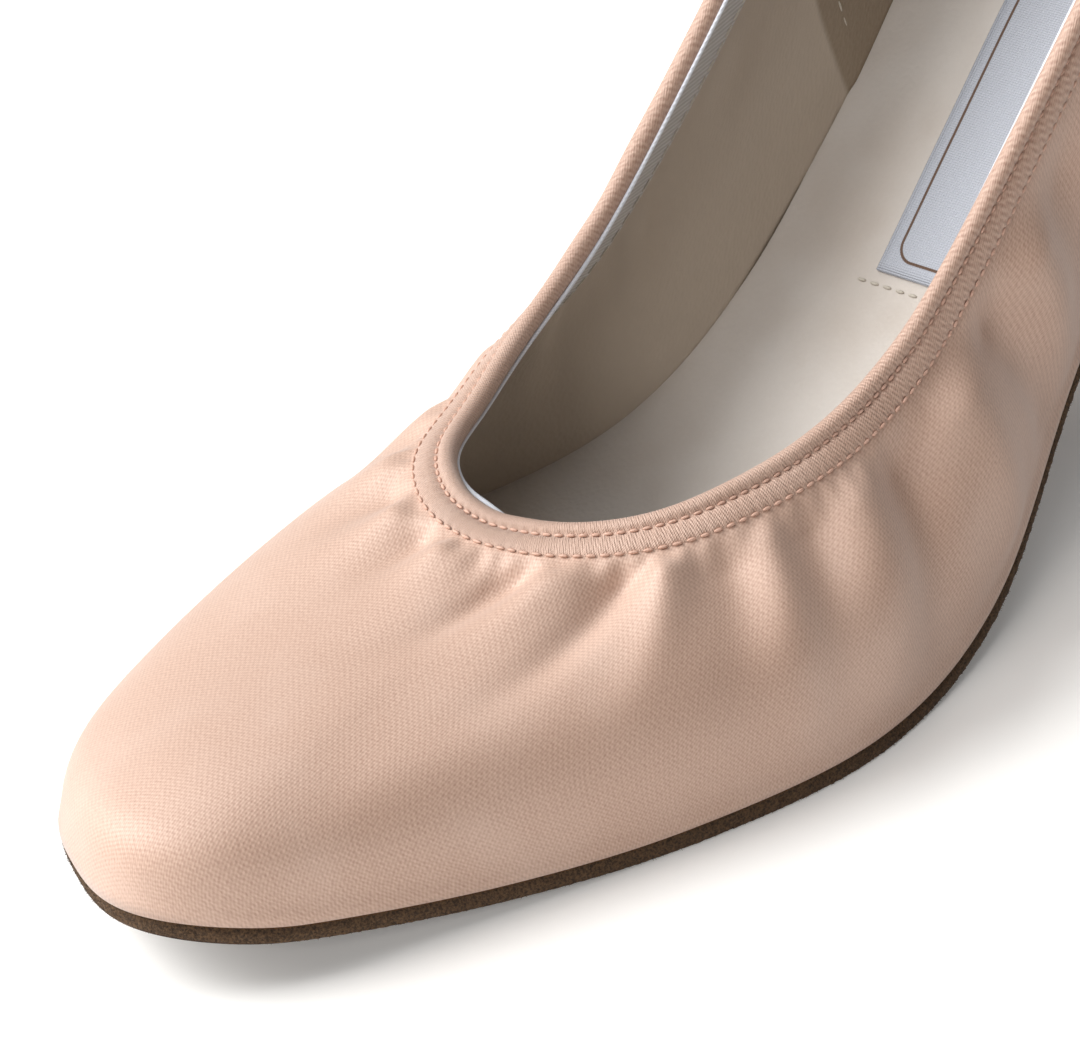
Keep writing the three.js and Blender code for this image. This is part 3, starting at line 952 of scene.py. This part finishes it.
fibre_way = unit(np.column_stack([outward(FEATHER, t_fibre), np.zeros(FIBRES)]) + fibre_stray)
tips = roots + fibre_way * fibre_long[:, None]
tips[:, 2] = np.maximum(tips[:, 2], FIBRE_CLEARANCE)


def fibre_mesh(name, starts, ends, thick):
    """Thin three-sided needles from each start to its end, in one mesh."""
    way = ends - starts
    side = unit(np.cross(way, OFF_FIBRE)) * thick
    other = np.cross(unit(way), side) * TRIANGLE_SIDE
    feet = [starts + side, starts - side / 2 + other, starts - side / 2 - other]
    points = placed(np.stack([*feet, ends], axis=1)).reshape(-1, 3)
    sides = [(0, 1, 3), (1, 2, 3), (2, 0, 3), (2, 1, 0)]
    faces = [tuple(4 * k + v for v in corners) for k in range(len(starts)) for corners in sides]
    mesh = bpy.data.meshes.new(name)
    mesh.from_pydata(points.tolist(), [], faces)
    return in_scene(name, mesh)


belongs(fibre_mesh("suede_nap", roots, tips, FIBRE_THICK), suede, "suede_sole")

# The sock
# A full-length sock of cream leather over thin foam, laid in with cement after lasting. Its edge turns
# down against the lining.
SOCK = colour(0xCDC7C1)
SOCK_SHADE = colour(0xB7ABA0)
SOCK_THICKNESS = 1.8
SOCK_CLEARANCE = 0.6
SOCK_UNDER_LINING = 0.5
SOCK_ACROSS = 40
SOCK_DIP = 0.25
sock_level = SOLE_THICKNESS + GAP + SOCK_THICKNESS
sock_top = slab_face(SOCK_UNDER_LINING - WALL, sock_level, SOCK_ACROSS, SOCK_DIP)
sock = skin("leather_sock", placed(sock_top), plan_flat(sock_top))
thicken(sock, SOCK_THICKNESS - SOCK_CLEARANCE)
sock_leather = Finish("sock_leather", {})
laid, *_ = sock_leather.flat()
grain = sock_leather.cells(laid, pitch=0.7)
fine = sock_leather.noise(laid, pitch=0.5, detail=4.0, roughness=0.6)
worn = sock_leather.noise(laid, pitch=20.0)
base = sock_leather.mixed(worn.between(0.3, 0.8) * 0.6 + fine * 0.15, SOCK, SOCK_SHADE)
sock_leather.surface(base, roughness=0.55 + fine * 0.15, relief=grain * 0.7 + fine * 0.8, depth=0.07)
belongs(sock, sock_leather, "sock_leather", "sock")

# The sock label
# A woven label in pale blue-white cloth with a thin brown border line, its edges turned under and sewn
# flat on the heel of the sock.
LABEL_CLOTH = colour(0xB4B8C2)
LABEL_WEFT = colour(0x999FAC)
LABEL_BORDER = colour(0x5E4636)
LABEL_FRONT = 131
LABEL_BACK = 185
LABEL_WIDTH = 18
LABEL_LONG = 60
LABEL_OUT_FRONT = 7.2
LABEL_OUT_BACK = 1.1
LABEL_RISE = 0.6
LABEL_SINK = 0.25
LABEL_THICKNESS = 0.5
LABEL_STEPS = 40
LABEL_ACROSS = 12
BORDER_INSET = 1.9
BORDER_CORNER = 2.4
BORDER_WIDE = 0.42
WARP_PITCH = 0.36
WEFT_PITCH = 0.3
label_share = np.linspace(0, 1, LABEL_STEPS + 1)[:, None]
label_side = np.linspace(-0.5, 0.5, LABEL_ACROSS + 1)[None, :]
label_middle = LABEL_OUT_FRONT + (LABEL_OUT_BACK - LABEL_OUT_FRONT) * label_share
label_station = LABEL_FRONT + (LABEL_BACK - LABEL_FRONT) * label_share
label_level = sock_level + GAP + LABEL_RISE
label_height = sole_height(label_station) + label_level - LABEL_SINK
label_places = np.broadcast_arrays(label_middle + LABEL_WIDTH * label_side, label_station, label_height)
label_flat = laid_flat(LABEL_WIDTH * label_side, LABEL_LONG * (label_share - 0.5))
label = skin("woven_label", placed(np.stack(label_places, axis=2)), label_flat)
thicken(label, LABEL_THICKNESS)
woven = Finish("woven_label", {})
_, across, along = woven.flat()
half_width = LABEL_WIDTH / 2 - BORDER_INSET - BORDER_CORNER
half_long = LABEL_LONG / 2 - BORDER_INSET - BORDER_CORNER
past_side = (across.size() - half_width * MM).greater(0.0)
past_end = (along.size() - half_long * MM).greater(0.0)
from_corner = (past_side * past_side + past_end * past_end).root()
off_line = (from_corner - BORDER_CORNER * MM).size()
border_line = 1 - off_line.between(0.3 * BORDER_WIDE * MM, 0.6 * BORDER_WIDE * MM)
warp = across.lines(WARP_PITCH)
weft = along.lines(WEFT_PITCH)
cloth = woven.mixed(warp * weft * 0.35, LABEL_CLOTH, LABEL_WEFT)
woven.surface(woven.mixed(border_line, cloth, LABEL_BORDER), roughness=0.55, relief=warp + weft, depth=0.05)
belongs(label, woven, "label_cloth", "sock_label")

# The label's stitches
# One row of cream thread across the sock just in front of the label, sewn before the sock is laid in.
ROW_AHEAD = 1.2
ROW_FROM = -0.62
ROW_TO = 0.5
ROW_STITCHES = 11
ROW_LONG = 1.3
ROW_RADIUS = 0.24
ROW_SINK = 0.8
row_out = LABEL_OUT_FRONT + LABEL_WIDTH * np.linspace(ROW_FROM, ROW_TO, ROW_STITCHES)
row_station = np.full_like(row_out, LABEL_FRONT - ROW_AHEAD)
row_height = sole_height(row_station) + label_level - ROW_SINK
row_start = placed(np.stack([row_out, row_station, row_height], axis=1))
row_end = placed(np.stack([row_out + ROW_LONG, row_station, row_height], axis=1))
belongs(stitch_mesh("label_stitches", row_start, row_end, ROW_RADIUS), tape_thread, "label_cloth")

# The covered heel
# A moulded heel covered in the same satin, with a slightly hollow breast. It is screwed on through the
# seat before the sock goes in.
HEEL_BREAST = 184
HEEL_TIP_FRONT = 201
HEEL_TIP_BACK = 226
HEEL_TIP_WIDTH = 25
TOP_PIECE_HEIGHT = 5
SEAT_INSET = 0.4
HEEL_FLARE = 1.7
TIP_SQUARENESS = 0.72
BREAST_HOLLOW = 1.3
HEEL_SIDE = 90
HEEL_LEVELS = 40
BREAST_STEPS = 20
HEEL_GIRTH = 120
HEEL_DROP = 56
outer_waist = np.linspace(0.25, 0.45, 200)
seat_start = np.interp(HEEL_BREAST, feather_edge(outer_waist, 0)[:, 1], outer_waist)


def heel_ring(share):
    """The heel's outline at a share of the way down from the seat to the top piece, closed at the breast."""
    seat = feather_edge(np.linspace(seat_start, 1 - seat_start, HEEL_SIDE + 1), -SEAT_INSET)
    seat_height = sole_height(seat[:, 1]) - GAP
    turn = np.linspace(0, np.pi, HEEL_SIDE + 1)
    squared = np.sin(turn).clip(0) ** TIP_SQUARENESS
    middle = (HEEL_TIP_FRONT + HEEL_TIP_BACK) / 2
    depth = (HEEL_TIP_BACK - HEEL_TIP_FRONT) / 2
    tip = np.stack([np.cos(turn) * HEEL_TIP_WIDTH / 2, middle + depth * (2 * squared - 1)], axis=1)
    waisted = 1 - (1 - share) ** HEEL_FLARE
    plan = seat + (tip - seat) * waisted
    height = seat_height + (TOP_PIECE_HEIGHT + GAP - seat_height) * share
    side = np.column_stack([plan, height])
    across = np.linspace(0, 1, BREAST_STEPS + 1)[1:, None]
    breast = side[-1] + (side[0] - side[-1]) * across
    breast[:, 1] += BREAST_HOLLOW * np.sin(np.pi * across[:, 0])
    return np.concatenate([side, breast])


def close_ends(piece):
    """Fills the open ends of a piece, with a crisp edge round each."""
    shape = bmesh.new()
    shape.from_mesh(piece.data)
    rim = [edge for edge in shape.edges if edge.is_boundary]
    bmesh.ops.holes_fill(shape, edges=rim, sides=0)
    bmesh.ops.recalc_face_normals(shape, faces=shape.faces)
    for edge in rim:
        edge.smooth = False
    shape.to_mesh(piece.data)
    shape.free()


heel_points = np.stack([heel_ring(share) for share in np.linspace(0, 1, HEEL_LEVELS + 1)], axis=1)
heel_way = np.linspace(0, HEEL_GIRTH, len(heel_points))[:, None]
heel_flat = laid_flat(heel_way, np.linspace(0, HEEL_DROP, HEEL_LEVELS + 1))
heel = skin("satin_heel", placed(heel_points), heel_flat)
close_ends(heel)
heel_satin = satin_finish("heel_satin", SATIN_WEAVE, SATIN_CONTRAST, SATIN_DEPTH)
belongs(heel, heel_satin, "heel_satin", "heel")

# The top piece
# A block faced with the sole's suede, cut flush with the heel's tip and nailed on. It is what stands on
# the floor.
TIP_REACH = 12
TOP_PIECE_SECTION = (
    # height, millimetres in from the heel's tip
    (TOP_PIECE_HEIGHT, 0.3),
    (TOP_PIECE_HEIGHT - 0.3, 0.0),
    (0.35, 0.0),
    (0.0, 0.35),
)
tip_plan = heel_ring(1.0)[:, :2]
tip_middle = tip_plan.mean(axis=0)
tip_points = np.empty((len(tip_plan), len(TOP_PIECE_SECTION), 3))
for level, (height, inset) in enumerate(TOP_PIECE_SECTION):
    tip_points[:, level, :2] = tip_middle + (tip_plan - tip_middle) * (1 - inset / TIP_REACH)
    tip_points[:, level, 2] = height
top_piece = skin("suede_top_piece", placed(tip_points), plan_flat(tip_points))
close_ends(top_piece)
belongs(top_piece, suede, "top_piece_suede", "heel_top_piece")

# The studio
# A pale paper floor, one large soft light from the inner side of the toe with weaker ones round it, and
# the camera at the photograph's angle.
FLOOR = colour(0xF4F3F1)
FLOOR_HALF = 6
PAPER = {"Base Color": FLOOR, "Roughness": 0.9, "Emission Color": FLOOR, "Emission Strength": 0.16}
ground = bmesh.new()
bmesh.ops.create_grid(ground, x_segments=1, y_segments=1, size=FLOOR_HALF)
floor = finished("floor", ground)
floor.data.materials.append(Finish("floor_paper", PAPER).material)

CAMERA_AZIMUTH = math.radians(48.82)
CAMERA_ELEVATION = math.radians(32)
CAMERA_ROLL = math.radians(-10.64)
CAMERA_DISTANCE = 0.7
CAMERA_AIM = np.array([-1.12, 70.01, 20])
CAMERA_FOCUS_PIXELS = 6104
CAMERA_NEAR = 0.01
PHOTO_WIDTH = 1080
SENSOR = 36
aim = Vector(placed(CAMERA_AIM))
away = Vector((
    math.sin(CAMERA_AZIMUTH) * math.cos(CAMERA_ELEVATION),
    -math.cos(CAMERA_AZIMUTH) * math.cos(CAMERA_ELEVATION),
    math.sin(CAMERA_ELEVATION),
))
level_right = Vector((math.cos(CAMERA_AZIMUTH), math.sin(CAMERA_AZIMUTH), 0))
level_up = away.cross(level_right)
right = level_right * math.cos(CAMERA_ROLL) + level_up * math.sin(CAMERA_ROLL)
up = level_up * math.cos(CAMERA_ROLL) - level_right * math.sin(CAMERA_ROLL)
lens = bpy.data.cameras.new("camera")
lens.sensor_width = SENSOR
lens.lens = CAMERA_FOCUS_PIXELS * SENSOR / PHOTO_WIDTH
lens.clip_start = CAMERA_NEAR
camera = in_scene("camera", lens)
turned = Matrix((right, up, away)).transposed().to_4x4()
turned.translation = aim + away * CAMERA_DISTANCE
camera.matrix_world = turned
bpy.context.scene.camera = camera

LIGHTS = (
    # name, metres from the camera's aim, size, power, tint
    ("key", Vector((-0.84, -0.55, 0.9)), 1.0, 29.5, (1, 0.995, 0.985)),
    ("toe_side", Vector((0.25, -1.0, 0.55)), 0.4, 4, (1, 0.97, 0.94)),
    ("top", Vector((0, 0, 1.3)), 1.0, 4.5, (1, 1, 1)),
    ("fill", level_right * 0.9 + away * 0.6, 0.8, 0.3, (1, 0.95, 0.9)),
)
WORLD_LIGHT = 0.1
for name, offset, size, power, tint in LIGHTS:
    lamp = bpy.data.lights.new(name, "AREA")
    lamp.shape = "SQUARE"
    lamp.size = size
    lamp.energy = power
    lamp.color = tint
    light = in_scene(name, lamp)
    light.location = aim + offset
    light.rotation_euler = offset.to_track_quat("Z", "Y").to_euler()
world = bpy.data.worlds.new("studio")
world.use_nodes = True
background = world.node_tree.nodes["Background"]
background.inputs["Color"].default_value = (1, 1, 1, 1)
background.inputs["Strength"].default_value = WORLD_LIGHT
bpy.context.scene.world = world
bpy.context.scene.view_settings.view_transform = "Standard"
